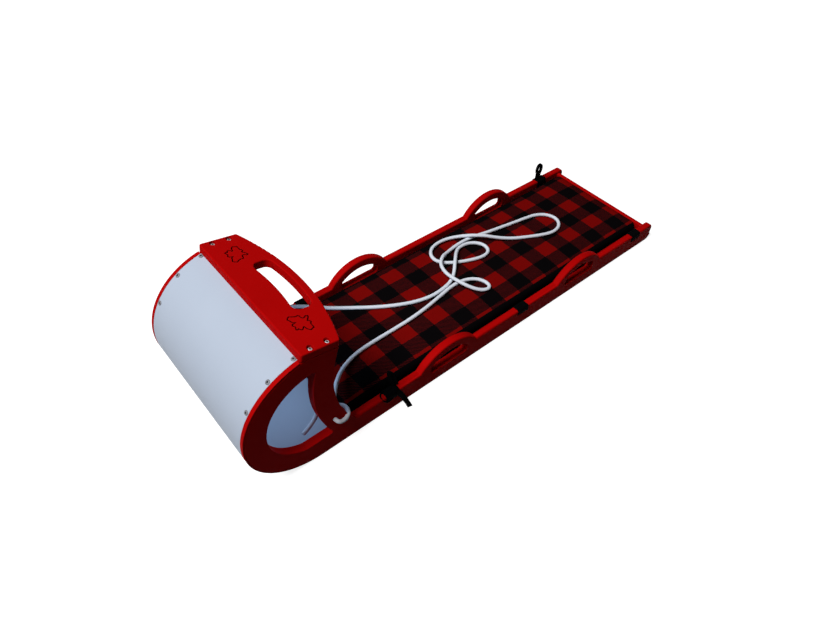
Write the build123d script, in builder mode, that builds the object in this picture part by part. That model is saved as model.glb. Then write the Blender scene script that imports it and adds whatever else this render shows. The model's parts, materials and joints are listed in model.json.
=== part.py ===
"""Toboggan: two side panels with curled fronts, a sheet that is the sled's bottom
and wraps the curl, a grip board on top of the curl, a rear crossbar, a cushion held by
webbing straps, and a tow rope that is knotted through both panels.

Millimetres. +X points forward, to the curl, +Y to the left, and Z = 0 is the ground.
The origin is under the middle of the sled.
"""
import os
from math import asin, cos, degrees, pi, radians, sin, sqrt, tan

from build123d import *

os.makedirs("parts", exist_ok=True)

# Overall sizes
LENGTH = 1320.0  # rail ends to the front of the curl
WIDTH = 358.0  # over the outer faces of the side panels
PANEL_T = 19.0  # side panels, board and crossbar are cut from this sheet stock
SHEET_T = 2.0  # thin sheet under the sled and round the curl
FIT = 0.3  # gap between pieces that only touch
NEAR = 0.1  # places closer than this count as the same

# Curl
CURL_R = 162.0  # rim of a side panel
CURL_X = LENGTH / 2 - CURL_R - SHEET_T
CURL_Z = SHEET_T + CURL_R
RING_W = 46.0  # panel between its rim and the window
COLUMN_R = 250.0  # the hollow rear side of the curl
COLUMN_W = 45.0  # panel between that side and the window
COLUMN_BACK = 34.0  # from the curl's centre back to the column's rear edge
COLUMN_Z = 204.0  # height where the column stands furthest forward
WINDOW_CORNER_R = 6.0

# Rails
RAIL_H = 52.0
RAIL_BACK = -LENGTH / 2
RAIL_FLARE_R = 24.0  # rail top into the column
RAIL_TIP_R = 16.0
EDGE_R = 4.0  # rounded edges of the rails and handles
HANDLE_FRONT = 352.0  # from the curl's centre back to the front grab handle
HANDLE_REAR = 336.0  # from the rails' ends forward to the rear one
HANDLE_RISE = 47.0
HANDLE_R = 106.0
HANDLE_RING = 22.0
HANDLE_FOOT_R = 8.0
SLOT_HALF = 57.0
SLOT_FLOOR_Z = SHEET_T + 31.0
SLOT_CORNER_R = 9.0

# Grip board
BOARD_TILT = 9.5
SEAT_FRONT = 31.0  # from the curl's centre forward to the seat's and the board's front edge
SEAT_DEPTH = 81.0  # along the seat, and along the board's ends
BOARD_BOW = 37.0  # how much deeper the board is in the middle
BOARD_CORNER_R = 4.0
BOARD_EDGE_R = 2.5
GRIP_RIM = 16.0  # board behind the grip slot
GRIP_SLOT = 41.0
GRIP_LENGTH = 156.0
GRIP_END_R = 15.0
BOARD_SCREW_BACK = 25.0  # from the board's front edge back to the front screws
BOARD_SCREW_STEP = 35.5
BOARD_SCREW_R = 3.0
BOARD_HEAD_R = 6.8
BOARD_HEAD_DEPTH = 8.0

# Sheet
SHEET_INSET = 9.5  # rim of the panel that shows beside the sheet
SHEET_TUCK = 12.0  # how far the sheet runs under the board's front edge

# Rear crossbar
BAR_T = 12.0
BAR_H = 44.0

# Cushion
CUSHION_BACK = 104.0  # from the curl's centre back to the cushion
CUSHION_TOP = 62.0
CUSHION_SIDE_GAP = 3.6
CUSHION_REAR_GAP = 6.0
CUSHION_R = 14.0

# Webbing straps over the rails
STRAP_W = 38.0
STRAP_T = 2.4
STRAP_DROP = 26.0  # down the outer face of the rail
STRAP_INNER_DROP = 18.0
STRAPS = (
    # name, what its place is measured from, distance ahead of that, side (+1 left), its end
    ("left_front", "curl", -184.0, 1, "free"),
    ("left_middle", "handles", -15.0, 1, "sewn"),
    ("left_rear", "rail end", 84.0, 1, "sewn"),
    ("right_front", "curl", -184.0, -1, "sewn"),
    ("right_rear", "rail end", 105.0, -1, "loop"),
)

# Free end of a strap, down the outer face
FREE_W = 16.0
FREE_T = 1.8
FREE_LEAN = 26.0  # how far its foot lies behind its top
FREE_BACK = 8.0  # its top behind the strap's middle

# End of a strap that stands up as a loop
LOOP_H = 58.0
LOOP_TOP_R = 9.0
LOOP_FOOT_R = 12.0
LOOP_HOLE_L = 26.0
LOOP_HOLE_W = 10.0
LOOP_BAND_W = 16.0
LOOP_TURN = 45.0  # from along the rail towards across it

# Tow rope. Its route is settled by hand: first round the left column, then over the cushion
ROPE_D = 9.5
ROPE_CLEAR = 1.0  # between the rope and the cushion's block
ARC_SHARE = 0.45  # of a run, for the arc at each of its ends
ROPE_HOLE_R = 6.0
ROPE_HOLE_X = CURL_X - 31.0
ROPE_HOLE_Z = SHEET_T + 96.0
KNOT_L = 22.0
KNOT_R = 12.0
TAIL = ((465.0, 126.0, 98.0), (468.0, 123.0, 77.0), (481.0, 131.0, 53.0), (514.0, 134.0, 36.0))
ROPE_LEFT = (
    # x, y, z from the hole's outer mouth round the column and down to the cushion
    (465.0, 190.0, 98.0),
    (443.0, 192.0, 90.0),
    (426.0, 179.0, 96.0),
    (424.0, 156.0, 104.0),
    (424.0, 133.0, 103.0),
    (408.0, 109.0, 94.0),
    (385.0, 87.0, 84.0),
    (354.0, 68.0, 74.0),
)
ROPE_LAY = (
    # x, y, lift above the cushion in rope diameters, where it crosses itself
    (312.0, 53.0, 0.0),
    (260.0, 46.0, 0.0),
    (206.0, 43.0, 0.0),
    (148.0, 43.5, 0.0),
    (92.0, 39.5, 0.0),
    (40.0, 30.0, 0.0),
    (-8.0, 22.0, 0.0),
    (-45.0, 26.0, 0.0),
    (-76.0, 37.0, 0.0),
    (-95.0, 56.0, 0.0),
    (-93.0, 82.0, 0.0),
    (-71.0, 97.0, 0.0),
    (-46.0, 90.0, 0.1),
    (-35.0, 66.0, 0.6),
    (-31.0, 40.0, 1.35),
    (-28.0, 12.0, 1.35),
    (-27.0, -15.0, 1.3),
    (-33.0, -44.0, 1.35),
    (-51.0, -67.0, 1.35),
    (-80.0, -80.0, 0.3),
    (-116.0, -84.0, 0.0),
    (-150.0, -82.0, 0.0),
    (-186.0, -77.0, 0.0),
    (-222.0, -71.0, 0.0),
    (-270.0, -66.5, 0.0),
    (-320.0, -60.5, 0.0),
    (-362.0, -52.5, 0.0),
    (-398.0, -46.0, 0.0),
    (-424.0, -24.0, 0.0),
    (-430.0, 6.0, 0.0),
    (-411.0, 30.0, 0.0),
    (-378.0, 37.0, 0.0),
    (-340.0, 29.0, 0.0),
    (-300.0, 13.0, 0.0),
    (-262.0, -11.0, 0.0),
    (-232.0, -38.0, 0.6),
    (-208.0, -63.0, 1.35),
    (-186.0, -84.0, 1.35),
    (-158.0, -106.0, 0.5),
    (-122.0, -124.0, 0.0),
    (-85.0, -128.0, 0.0),
    (-54.0, -118.0, 0.0),
    (-35.0, -95.0, 0.0),
    (-33.0, -70.0, 0.0),
    (-50.0, -47.0, 0.0),
    (-80.0, -29.0, 0.0),
    (-112.0, -14.0, 0.0),
    (-146.0, -6.0, 0.0),
    (-173.0, -15.0, 0.0),
    (-183.0, -38.0, 0.0),
    (-171.0, -60.0, 0.0),
    (-144.0, -70.0, 0.0),
    (-114.0, -70.0, 0.1),
    (-92.0, -58.0, 0.7),
    (-76.0, -44.0, 1.35),
    (-60.0, -29.0, 1.35),
    (-43.0, -14.0, 0.3),
    (-20.0, 3.0, 0.0),
    (12.0, 13.0, 0.0),
    (52.0, 15.0, 0.0),
    (96.0, 9.0, 0.0),
    (142.0, -8.0, 0.0),
    (190.0, -35.0, 0.0),
    (238.0, -68.0, 0.0),
    (284.0, -101.0, 0.0),
)
ROPE_RIGHT = (
    # x, y, z from the cushion up to the right column, round it and to the hole
    (322.0, -127.0, 76.0),
    (357.0, -143.0, 86.0),
    (392.0, -149.0, 97.0),
    (423.0, -154.0, 104.0),
    (426.0, -179.0, 96.0),
    (443.0, -192.0, 90.0),
    (465.0, -190.0, 98.0),
)

inner_y = WIDTH / 2 - PANEL_T
rail_top = SHEET_T + RAIL_H
column_centre = (CURL_X - COLUMN_BACK - COLUMN_R, COLUMN_Z)
handle_xs = (CURL_X - HANDLE_FRONT, RAIL_BACK + HANDLE_REAR)


def column_x(z, radius=COLUMN_R):
    """Forward position of the column's rear edge, or of the window's, at height z."""
    return column_centre[0] + sqrt(radius**2 - (z - column_centre[1]) ** 2)


def rim_z(x):
    """Height of the panel's rim over the curl's upper half."""
    return CURL_Z + sqrt(CURL_R**2 - (x - CURL_X) ** 2)


# The board's seat is a flat on the rim, tilted down to the rear
seat_front = CURL_X + SEAT_FRONT
seat_front_z = rim_z(seat_front)
seat_rear = seat_front - SEAT_DEPTH * cos(radians(BOARD_TILT))
seat_rear_z = seat_front_z - SEAT_DEPTH * sin(radians(BOARD_TILT))
board_plane = Plane(
    origin=(seat_front, 0, seat_front_z),
    x_dir=(cos(radians(BOARD_TILT)), 0, sin(radians(BOARD_TILT))),
    z_dir=(-sin(radians(BOARD_TILT)), 0, cos(radians(BOARD_TILT))),
)

# Side panel: outline on the XZ plane, its thickness to the left, then rounded and cut
def on_rail(edge):
    """Whether an edge of the panel's outline lies along the rail's top or a handle."""
    middle = edge.center()
    return middle.Z > rail_top - NEAR and middle.X < CURL_X - COLUMN_BACK - RAIL_FLARE_R


with BuildPart() as left_panel:
    with BuildSketch(Plane.XZ.offset(-inner_y)) as panel_outline:
        with BuildLine():
            Line((RAIL_BACK, SHEET_T), (CURL_X, SHEET_T))
            ThreePointArc((CURL_X, SHEET_T), (CURL_X + CURL_R, CURL_Z), (seat_front, seat_front_z))
            Line((seat_front, seat_front_z), (seat_rear, seat_rear_z))
            ThreePointArc(
                (seat_rear, seat_rear_z),
                (column_x(COLUMN_Z), COLUMN_Z),
                (column_x(rail_top), rail_top),
            )
            Line((column_x(rail_top), rail_top), (RAIL_BACK, rail_top))
            Line((RAIL_BACK, rail_top), (RAIL_BACK, SHEET_T))
        make_face()
        with Locations(*[(x, rail_top + HANDLE_RISE - HANDLE_R) for x in handle_xs]):
            Circle(HANDLE_R)
        with Locations((0, SHEET_T)):
            Rectangle(LENGTH, 2 * HANDLE_R, align=(Align.CENTER, Align.MAX), mode=Mode.SUBTRACT)
        corners = panel_outline.vertices()
        flare = corners.sort_by_distance((column_x(rail_top), -inner_y, rail_top))[0]
        on_top = [v for v in corners if abs(v.Z - rail_top) < NEAR]
        feet = [v for v in on_top if RAIL_BACK + NEAR < v.X < flare.X - NEAR]
        fillet(flare, RAIL_FLARE_R)
        fillet(feet, HANDLE_FOOT_R)
        fillet(panel_outline.vertices().group_by(Axis.X)[0], RAIL_TIP_R)
    extrude(amount=-PANEL_T)
    long_edges = [e for e in left_panel.edges() if e.length > PANEL_T + NEAR]
    fillet([e for e in long_edges if on_rail(e)], EDGE_R)

    # The window follows the rim in front, the column behind and the rail below
    with BuildSketch(Plane.XZ.offset(-inner_y)) as window:
        with Locations((CURL_X, CURL_Z)):
            Circle(CURL_R - RING_W)
        with Locations((CURL_X, rail_top)):
            Rectangle(2 * CURL_R, CURL_R, align=(Align.CENTER, Align.MAX), mode=Mode.SUBTRACT)
        with Locations(column_centre):
            Circle(COLUMN_R + COLUMN_W, mode=Mode.SUBTRACT)
        fillet(window.vertices(), WINDOW_CORNER_R)
    extrude(amount=-PANEL_T, mode=Mode.SUBTRACT)

    # Finger slots under the grab handles
    for x in handle_xs:
        with BuildSketch(Plane.XZ.offset(-inner_y)) as slot:
            with Locations((x, rail_top + HANDLE_RISE - HANDLE_R)):
                Circle(HANDLE_R - HANDLE_RING)
            with Locations((x, SLOT_FLOOR_Z)):
                Rectangle(
                    2 * SLOT_HALF,
                    HANDLE_R,
                    align=(Align.CENTER, Align.MIN),
                    mode=Mode.INTERSECT,
                )
            fillet(slot.vertices(), SLOT_CORNER_R)
        extrude(amount=-PANEL_T, mode=Mode.SUBTRACT)

    # Rope hole through the foot of the column
    with Locations(Location((ROPE_HOLE_X, inner_y + PANEL_T / 2, ROPE_HOLE_Z), (90, 0, 0))):
        Hole(ROPE_HOLE_R, PANEL_T)

# Sheet: bottom of the sled, round the curl and onto the seat under the board's front edge
rim_angle = degrees(asin((seat_front - CURL_X) / CURL_R))
seat_over_centre = CURL_R * cos(radians(rim_angle + BOARD_TILT))
fold_angle = BOARD_TILT + degrees(asin((seat_over_centre + SHEET_T) / (CURL_R + SHEET_T)))
sheet_half = WIDTH / 2 - SHEET_INSET
tuck_top = board_plane.from_local_coords((-SHEET_TUCK, 0, SHEET_T))
tuck_foot = board_plane.from_local_coords((-SHEET_TUCK, 0, 0))
with BuildPart() as sheet:
    with BuildSketch(Plane.XZ.offset(-sheet_half)):
        with BuildLine():
            underside = Line((RAIL_BACK + RAIL_TIP_R, 0), (CURL_X, 0))
            outside = CenterArc((CURL_X, CURL_Z), CURL_R + SHEET_T, -90, 90 + fold_angle)
            Polyline(
                outside @ 1,
                (tuck_top.X, tuck_top.Z),
                (tuck_foot.X, tuck_foot.Z),
                (seat_front, seat_front_z),
            )
            CenterArc((CURL_X, CURL_Z), CURL_R, 90 - rim_angle, rim_angle - 180)
            floor = Line((CURL_X, SHEET_T), (RAIL_BACK + RAIL_TIP_R, SHEET_T))
            Line(floor @ 1, underside @ 0)
        make_face()
    extrude(amount=2 * sheet_half)

# Grip board: straight front, bowed rear edge, curved grip slot and four screw wells
bow_r = (WIDTH**2 / 4 + BOARD_BOW**2) / (2 * BOARD_BOW)
bow_x = -SEAT_DEPTH - BOARD_BOW + bow_r
with BuildPart() as board:
    with BuildSketch(board_plane) as board_outline:
        with BuildLine():
            rear = ThreePointArc(
                (-SEAT_DEPTH, -WIDTH / 2), (-SEAT_DEPTH - BOARD_BOW, 0), (-SEAT_DEPTH, WIDTH / 2)
            )
            Polyline(rear @ 1, (0, WIDTH / 2), (0, -WIDTH / 2), rear @ 0)
        make_face()
        fillet(board_outline.vertices(), BOARD_CORNER_R)
    extrude(amount=PANEL_T)
    # Rebate under the front edge, where the sheet's end is held
    with Locations(board_plane * Location((-SHEET_TUCK - FIT, 0, 0))):
        Box(
            SHEET_TUCK + FIT,
            2 * (sheet_half + FIT),
            SHEET_T + FIT,
            align=(Align.MIN, Align.CENTER, Align.MIN),
            mode=Mode.SUBTRACT,
        )
    with BuildSketch(board_plane) as grip:
        with Locations((bow_x, 0)):
            Circle(bow_r - GRIP_RIM)
            Circle(bow_r - GRIP_RIM - GRIP_SLOT, mode=Mode.SUBTRACT)
        with Locations((-SEAT_DEPTH - BOARD_BOW, 0)):
            Rectangle(
                SEAT_DEPTH + BOARD_BOW,
                GRIP_LENGTH,
                align=(Align.MIN, Align.CENTER),
                mode=Mode.INTERSECT,
            )
        fillet(grip.vertices(), GRIP_END_R)
    extrude(amount=PANEL_T, mode=Mode.SUBTRACT)
    top = board.faces().sort_by(Axis(board_plane.origin, board_plane.z_dir))[-1]
    fillet(top.edges(), BOARD_EDGE_R)
    for side in (-1, 1):
        for step in (0, 1):
            well_x = -BOARD_SCREW_BACK - step * BOARD_SCREW_STEP
            at = board_plane * Location((well_x, side * (WIDTH - PANEL_T) / 2, PANEL_T))
            with Locations(at):
                CounterBoreHole(BOARD_SCREW_R, BOARD_HEAD_R, BOARD_HEAD_DEPTH, PANEL_T)

# Rear crossbar between the rails
with BuildPart() as crossbar:
    with BuildSketch(Plane.XY.offset(SHEET_T)):
        with Locations((RAIL_BACK + RAIL_TIP_R, 0)):
            Rectangle(BAR_T, 2 * inner_y, align=(Align.MIN, Align.CENTER))
    extrude(amount=BAR_H)
    fillet(crossbar.faces().sort_by(Axis.Z)[-1].edges().filter_by(Axis.Y), EDGE_R)

# Cushion, a plain closed form
cushion_back = RAIL_BACK + RAIL_TIP_R + BAR_T + CUSHION_REAR_GAP
with BuildPart() as cushion:
    with BuildSketch(Plane.XY.offset(SHEET_T + FIT)):
        with Locations((cushion_back, 0)):
            Rectangle(
                CURL_X - CUSHION_BACK - cushion_back,
                2 * (inner_y - CUSHION_SIDE_GAP),
                align=(Align.MIN, Align.CENTER),
            )
    extrude(amount=CUSHION_TOP - SHEET_T - FIT)
    fillet(cushion.edges().filter_by(Axis.Z), CUSHION_R)
    fillet(cushion.faces().sort_by(Axis.Z)[-1].edges(), CUSHION_R / 2)


def band_over_rail(x):
    """A webbing band over the left rail, from its inner face to its outer face."""
    inner = inner_y - FIT - STRAP_T / 2
    outer = WIDTH / 2 + FIT + STRAP_T / 2
    top = rail_top + FIT + STRAP_T / 2
    with BuildPart() as band:
        with BuildSketch(Plane.YZ.offset(x - STRAP_W / 2)):
            with BuildLine():
                over = FilletPolyline(
                    (inner, rail_top - STRAP_INNER_DROP),
                    (inner, top),
                    (outer, top),
                    (outer, rail_top - STRAP_DROP),
                    radius=EDGE_R + STRAP_T / 2,
                )
                offset(over, STRAP_T / 2, side=Side.BOTH)
            make_face()
        extrude(amount=STRAP_W)
    return band


def free_end(x):
    """The webbing's free end, which leans down the left band's outer face."""
    face_y = WIDTH / 2 + FIT + STRAP_T
    top_x = x - FREE_BACK
    with BuildPart() as end:
        with BuildSketch(Plane.XZ.offset(-face_y)):
            with BuildLine():
                Polyline(
                    (top_x - FREE_W / 2, rail_top - EDGE_R),
                    (top_x + FREE_W / 2, rail_top - EDGE_R),
                    (top_x + FREE_W / 2 - FREE_LEAN, FIT),
                    (top_x - FREE_W / 2 - FREE_LEAN, FIT),
                    close=True,
                )
            make_face()
        extrude(amount=-FREE_T)
    return end.part


def standing_loop(x):
    """The webbing's end, folded into a loop that stands on the band over the left rail."""
    turn = radians(LOOP_TURN)
    loop_plane = Plane(
        origin=(x, (WIDTH - PANEL_T) / 2, rail_top + FIT + STRAP_T / 2),
        x_dir=(-cos(turn), -sin(turn), 0),
        z_dir=(-sin(turn), cos(turn), 0),
    )
    with BuildPart() as loop:
        with BuildSketch(loop_plane):
            with Locations((0, LOOP_H - LOOP_TOP_R)):
                Circle(LOOP_TOP_R)
            with Locations((0, LOOP_FOOT_R)):
                Circle(LOOP_FOOT_R)
            make_hull()
            with Locations((0, LOOP_H - LOOP_TOP_R / 2 - LOOP_HOLE_L / 2)):
                SlotOverall(LOOP_HOLE_L, LOOP_HOLE_W, rotation=90, mode=Mode.SUBTRACT)
            Rectangle(LOOP_FOOT_R, LOOP_FOOT_R, align=(Align.CENTER, Align.MIN))
        extrude(amount=LOOP_BAND_W / 2, both=True)
    return loop.part


# Tow rope: a tube of straight runs and arcs as large as the runs allow
def corner_radii(points):
    """The arc at each corner, as large as the shorter of its two runs lets it be."""
    corners = [Vector(*point) for point in points]
    radii = []
    for before, at, after in zip(corners, corners[1:], corners[2:]):
        run = min((at - before).length, (after - at).length)
        turn = (at - before).get_angle(after - at)
        radii.append(ARC_SHARE * run / tan(radians(turn) / 2))
    return radii


def tube(points, name):
    """A rope along these points, with its volume compared with section times length."""
    radii = corner_radii(points)
    with BuildPart() as rope:
        with BuildLine() as centre_line:
            FilletPolyline(*points, radius=radii)
        path = centre_line.wires()[0]
        with BuildSketch(Plane(origin=path @ 0, z_dir=path % 0)):
            Circle(ROPE_D / 2)
        sweep(path=path)
    section = pi * ROPE_D**2 / 4
    print(name, "length %.0f" % path.length, "smallest radius %.1f" % min(radii))
    print(name, "volume / (section x length) %.4f" % (rope.part.volume / section / path.length))
    return rope.part


def mirrored(points):
    return [(x, -y, z) for x, y, z in points]


lay_z = CUSHION_TOP + ROPE_CLEAR + ROPE_D / 2
mouth = (ROPE_HOLE_X, inner_y - FIT, ROPE_HOLE_Z)
lay = [(x, y, lay_z + lift * ROPE_D) for x, y, lift in ROPE_LAY]
route = [mouth, *ROPE_LEFT, *lay, *ROPE_RIGHT, *mirrored([mouth])]
tow_rope = tube(route, "tow_rope")

# Stopper knot against the panel's inner face, and the rope's short tail behind it
with BuildPart() as knot:
    with Locations(Location((ROPE_HOLE_X, inner_y - FIT, ROPE_HOLE_Z), (90, 0, 0))):
        Cylinder(KNOT_R, KNOT_L, align=(Align.CENTER, Align.CENTER, Align.MIN))
    fillet(knot.edges().filter_by(GeomType.CIRCLE), KNOT_R / 2)
knot_face = (ROPE_HOLE_X, inner_y - FIT - KNOT_L, ROPE_HOLE_Z)
tail = tube([knot_face, *TAIL], "rope_tail")

pieces = {
    "side_panel_left": left_panel.part,
    "side_panel_right": mirror(left_panel.part, about=Plane.XZ),
    "runner_sheet": sheet.part,
    "grip_board": board.part,
    "rear_crossbar": crossbar.part,
    "cushion": cushion.part,
    "tow_rope": tow_rope,
    "rope_knot_left": knot.part,
    "rope_knot_right": mirror(knot.part, about=Plane.XZ),
    "rope_tail_left": tail,
    "rope_tail_right": mirror(tail, about=Plane.XZ),
}
places = {"curl": CURL_X, "handles": sum(handle_xs) / 2, "rail end": RAIL_BACK}
for name, place, ahead, side, end in STRAPS:
    x = places[place] + ahead
    strap = band_over_rail(x)
    with strap:
        if end == "free":
            add(free_end(x))
        if end == "loop":
            add(standing_loop(x))
    pieces["strap_" + name] = strap.part if side > 0 else mirror(strap.part, about=Plane.XZ)

for name, piece in pieces.items():
    piece.label = name
    export_step(piece, f"parts/{name}.step")
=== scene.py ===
# %% [markdown]
# # A toboggan with a curled front
#
# The sled is cut from red sheet plastic: two side panels whose fronts curl up, and a grip board across
# them. A white sheet is its bottom and wraps the curl. A buffalo check pad lies between the rails, held by
# black webbing, and a white tow rope is knotted through both panels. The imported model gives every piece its
# size and place, and these cells add the surfaces and the fine shapes that a solid model leaves out.

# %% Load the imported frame
import json
from math import cos, pi, radians, sin, sqrt

import bmesh
import bpy
import numpy as np
from mathutils import Matrix, Vector

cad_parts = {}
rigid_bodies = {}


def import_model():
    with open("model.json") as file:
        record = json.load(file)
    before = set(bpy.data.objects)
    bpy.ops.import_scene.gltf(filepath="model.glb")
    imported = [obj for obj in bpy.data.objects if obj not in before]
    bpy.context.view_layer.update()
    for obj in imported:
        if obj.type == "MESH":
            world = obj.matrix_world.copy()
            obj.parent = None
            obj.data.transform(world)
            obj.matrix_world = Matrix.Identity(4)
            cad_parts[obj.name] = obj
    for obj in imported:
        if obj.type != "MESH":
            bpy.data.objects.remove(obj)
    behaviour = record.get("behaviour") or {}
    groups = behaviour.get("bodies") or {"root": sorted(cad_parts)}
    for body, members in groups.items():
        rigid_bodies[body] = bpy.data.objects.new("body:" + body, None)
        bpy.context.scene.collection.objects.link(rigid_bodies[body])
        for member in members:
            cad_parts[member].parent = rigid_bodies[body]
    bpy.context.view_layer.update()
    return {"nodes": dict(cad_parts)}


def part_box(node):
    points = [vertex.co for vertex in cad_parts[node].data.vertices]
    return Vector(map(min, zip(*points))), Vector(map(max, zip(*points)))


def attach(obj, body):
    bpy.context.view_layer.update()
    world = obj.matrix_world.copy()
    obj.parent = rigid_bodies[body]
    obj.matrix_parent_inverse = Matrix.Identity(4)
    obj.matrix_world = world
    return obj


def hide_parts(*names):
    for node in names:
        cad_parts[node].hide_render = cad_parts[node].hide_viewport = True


for leftover in list(bpy.data.objects):
    bpy.data.objects.remove(leftover)
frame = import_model()
nodes = frame["nodes"]
print("nodes:", ", ".join(sorted(nodes)))

# %% [markdown]
# ## The camera
#
# A camera is a lens and a place. The lens length follows from how strongly the sled's parallel rails run
# together, and the place from where known points, such as the corners of the grip board, lie in the
# picture. Both were solved together, so the camera is written here as three directions and a position, not
# aimed by hand.

# %% Set up the camera
camera_lens = bpy.data.cameras.new("product_camera")
camera_lens.sensor_width = 36.0
camera_lens.lens = 27.793
camera = bpy.data.objects.new("product_camera", camera_lens)
bpy.context.scene.collection.objects.link(camera)
camera_right = Vector((-0.76066, 0.64687, 0.05438))
camera_down = Vector((0.44232, 0.57779, -0.68593))
camera_view = Vector((-0.47513, -0.49771, -0.72563))
camera_place = Vector((0.8537, 0.7830, 1.1802))
camera_turn = Matrix((camera_right, -camera_down, -camera_view)).transposed()
camera.matrix_world = Matrix.Translation(camera_place) @ camera_turn.to_4x4()
bpy.context.scene.camera = camera
bpy.context.scene.view_settings.view_transform = "Standard"
print("lens", camera_lens.lens, "mm, height", round(camera.location.z, 3), "m")

# %% [markdown]
# ## The tow rope's line
#
# The real rope is 2.8 m of soft braid. It starts at a stopper knot behind the left panel, comes out through
# the hole, goes round the back of the column, over the pad in loose loops, and ends the same way on the
# right. A rope bends evenly, so its line is a smooth NURBS spline: the numbers below only pull the line, as
# if with loose strings, and it passes near them without corners. Where the rope crosses itself, the upper
# strand has two raised points.

# %% Lay the rope's line
ROPE_D = 0.0095
# How high the rope's middle line lies on the pad
LAY_Z = 0.06775
# From the left hole's inner mouth, round the column and down to the pad
ROPE_LEFT = (
    (0.465, 0.1597, 0.098), (0.465, 0.186, 0.0972), (0.452, 0.1885, 0.0888), (0.434, 0.1825, 0.0855),
    (0.4248, 0.1705, 0.0868), (0.4268, 0.158, 0.0888), (0.439, 0.150, 0.0915), (0.4395, 0.141, 0.102),
    (0.429, 0.130, 0.1055), (0.4105, 0.1081, 0.096), (0.3856, 0.0849, 0.084), (0.3544, 0.0641, 0.074),
)
# On the pad: x, y and how many diameters the rope is lifted where it crosses itself
ROPE_ON_PAD = (
    (0.3119, 0.0493, 0), (0.2601, 0.0462, 0), (0.2068, 0.0462, 0), (0.1484, 0.0451, 0),
    (0.0920, 0.0395, 0), (0.0401, 0.0307, 0), (-0.0081, 0.0220, 0), (-0.0457, 0.0249, 0),
    (-0.0729, 0.0396, 0), (-0.0849, 0.0609, 0), (-0.0838, 0.0795, 0), (-0.0731, 0.0862, 0),
    (-0.0558, 0.0805, 0.1), (-0.0381, 0.0639, 0.6), (-0.0239, 0.0429, 1.35), (-0.0182, 0.0158, 1.35),
    (-0.0156, -0.0125, 1.3), (-0.0252, -0.0443, 1.35), (-0.0502, -0.0640, 1.35), (-0.0791, -0.0754, 0.3),
    (-0.1160, -0.0838, 0), (-0.1520, -0.0858, 0), (-0.1888, -0.0819, 0), (-0.2234, -0.0735, 0),
    (-0.2696, -0.0659, 0), (-0.3182, -0.0577, 0), (-0.3612, -0.0514, 0), (-0.3965, -0.0444, 0),
    (-0.4240, -0.0238, 0), (-0.4312, 0.0058, 0), (-0.4114, 0.0309, 0), (-0.3778, 0.0378, 0),
    (-0.3422, 0.0265, 0), (-0.3042, 0.0085, 0), (-0.2637, -0.0129, 0), (-0.2282, -0.0352, 0.6),
    (-0.2003, -0.0565, 1.35), (-0.1778, -0.0752, 1.35), (-0.1540, -0.1008, 0.5), (-0.1196, -0.1198, 0),
    (-0.0833, -0.1216, 0), (-0.0555, -0.1131, 0), (-0.0381, -0.0943, 0), (-0.0353, -0.0712, 0),
    (-0.0518, -0.0488, 0), (-0.0819, -0.0314, 0), (-0.1144, -0.0175, 0), (-0.1476, -0.0081, 0),
    (-0.1755, -0.0137, 0), (-0.1843, -0.0377, 0), (-0.1717, -0.0612, 0), (-0.1465, -0.0744, 0),
    (-0.1150, -0.0719, 0.1), (-0.0930, -0.0563, 0.7), (-0.0775, -0.0422, 1.35), (-0.0614, -0.0274, 1.35),
    (-0.0450, -0.0109, 0.3), (-0.0211, 0.0067, 0), (0.0126, 0.0162, 0), (0.0535, 0.0191, 0),
    (0.0970, 0.0112, 0), (0.1422, -0.0077, 0), (0.1900, -0.0350, 0), (0.2376, -0.0686, 0),
    (0.2832, -0.1021, 0),
)
# Up from the pad, round the right column and into its hole
ROPE_RIGHT = (
    (0.3212, -0.1282, 0.076), (0.3563, -0.1442, 0.086), (0.392, -0.149, 0.097), (0.423, -0.154, 0.104),
    (0.426, -0.179, 0.096), (0.443, -0.192, 0.09), (0.465, -0.19, 0.098), (0.465, -0.1597, 0.098),
)


def rope_spline(name, pulls):
    """Bend one smooth spline along these pulling points."""
    line = bpy.data.curves.new(name, "CURVE")
    line.dimensions = "3D"
    line.resolution_u = 10
    spline = line.splines.new("NURBS")
    spline.points.add(len(pulls) - 1)
    for point, pull in zip(spline.points, pulls):
        point.co = (*pull, 1.0)
    spline.order_u = 3
    spline.use_endpoint_u = True
    return bpy.data.objects.new(name, line)


def points_of(spline_object):
    """The places along a spline, as Blender draws it."""
    drawn = bpy.data.meshes.new_from_object(spline_object)
    places = np.array([vertex.co[:] for vertex in drawn.vertices])
    bpy.data.meshes.remove(drawn)
    return places


def length_of(places):
    """How long a line of places is."""
    return float(np.linalg.norm(np.diff(places, axis=0), axis=1).sum())


on_pad = [(x, y, LAY_Z + lift * ROPE_D) for x, y, lift in ROPE_ON_PAD]
rope_line = points_of(rope_spline("tow_rope_line", [*ROPE_LEFT, *on_pad, *ROPE_RIGHT]))
print("rope line:", len(rope_line), "points,", round(length_of(rope_line), 3), "m")

# %% [markdown]
# ## From a line to a mesh
#
# Ropes, straps and screws are all rings of points with faces between them. A curve's own bevel could make a
# plain round tube, but a braid or a flat band needs more control, so these helpers do it in mesh code. A
# ring's directions are carried along the line without twisting, so that a braid's pattern doesn't spin in
# the bends.

# %% Helpers that build meshes along a line
def even_steps(places, step):
    """The same line divided into equal steps, and how far along it each one is."""
    gaps = np.linalg.norm(np.diff(places, axis=0), axis=1)
    along = np.concatenate([[0.0], np.cumsum(gaps)])
    count = max(2, int(round(along[-1] / step)) + 1)
    stops = np.linspace(0.0, along[-1], count)
    return np.stack([np.interp(stops, along, places[:, axis]) for axis in range(3)], axis=1), stops


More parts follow.
